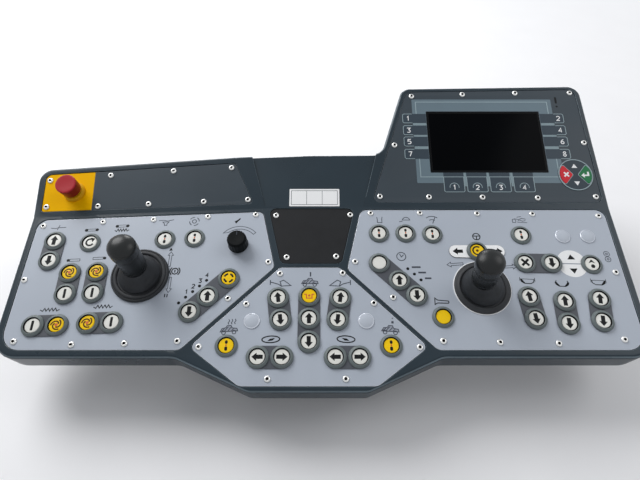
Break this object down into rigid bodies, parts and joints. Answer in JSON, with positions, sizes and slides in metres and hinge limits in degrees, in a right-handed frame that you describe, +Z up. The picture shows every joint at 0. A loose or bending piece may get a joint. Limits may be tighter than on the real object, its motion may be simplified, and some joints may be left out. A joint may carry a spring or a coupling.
{
  "type": "road paver operator console",
  "caption": "Raked control desk with button panels, a raised display section, two levers, a speed knob and an emergency stop.",
  "frame": {"origin": "centre of the four bolt holes, on the lower face of the bracket's foot", "axes": "X to the operator's right, Y away from the operator, Z up; the deck rises 15 degrees towards +Y"},
  "size_m": [0.8694, 0.4737, 0.2536],
  "materials": {
    "housing": "satin",
    "pan": "satin",
    "bracket": "satin",
    "black_plastic": "matte",
    "panel": "satin",
    "dark_plate": "satin",
    "stop_plate": "satin",
    "screen": "gloss",
    "red_key": "matte",
    "green_key": "matte",
    "web": "satin",
    "bezel": "satin",
    "white_cap": "satin",
    "yellow_cap": "satin",
    "plug": "satin",
    "rubber": "matte",
    "grip": "satin",
    "steel": "brushed",
    "stop_collar": "satin",
    "stop_head": "satin"
  },
  "bodies": {
    "console": {"housing": "housing", "base_pan": "pan", "bracket": "bracket", "cable_gland": "black_plastic", "left_panel": "panel", "middle_panel": "panel", "right_panel": "panel", "centre_cover": "black_plastic", "wing_plate": "dark_plate", "stop_plate": "stop_plate", "display_plate": "dark_plate", "display_screen": "screen", "nav_pad": "dark_plate", "nav_red_key": "red_key", "nav_green_key": "green_key", "left_webs": "web", "middle_webs": "web", "right_webs": "web", "left_bezels": "bezel", "middle_bezels": "bezel", "right_bezels": "bezel", "left_white_caps": "white_cap", "middle_white_caps": "white_cap", "right_white_caps": "white_cap", "left_yellow_caps": "yellow_cap", "middle_yellow_caps": "yellow_cap", "right_yellow_caps": "yellow_cap", "blank_plugs": "plug", "steering_plate": "white_cap", "drive_base": "rubber", "drive_boot": "rubber", "steering_base": "rubber", "steering_boot": "rubber", "knob_bush": "steel", "stop_collar": "stop_collar"},
    "drive_lever": {"drive_stem": "steel", "drive_grip": "grip"},
    "steering_lever": {"steering_stem": "steel", "steering_grip": "grip"},
    "speed_knob": {"speed_knob": "black_plastic"},
    "stop_button": {"stop_head": "stop_head"}
  },
  "joints": [
    {"name": "drive_lever_tilt", "type": "hinge", "parent": "console", "child": "drive_lever", "pos_m": [-0.237, -0.03115, 0.11913], "axis": [1, 0, 0], "range_deg": [-20, 20], "deforming": ["drive_boot"]},
    {"name": "steering_lever_tilt", "type": "hinge", "parent": "console", "child": "steering_lever", "pos_m": [0.239, -0.04854, 0.11447], "axis": [0, 0.9659, 0.2588], "range_deg": [-20, 20], "stiffness_Nm_per_rad": 1.5, "deforming": ["steering_boot"]},
    {"name": "speed_knob_turn", "type": "hinge", "parent": "console", "child": "speed_knob", "pos_m": [-0.103, 0.01029, 0.14991], "axis": [0, -0.2588, 0.9659], "range_deg": [-135, 135]},
    {"name": "stop_button_press", "type": "slide", "parent": "console", "child": "stop_button", "axis": [0.0071, -0.4066, 0.9136], "range_m": [-0.004, 0]}
  ]
}
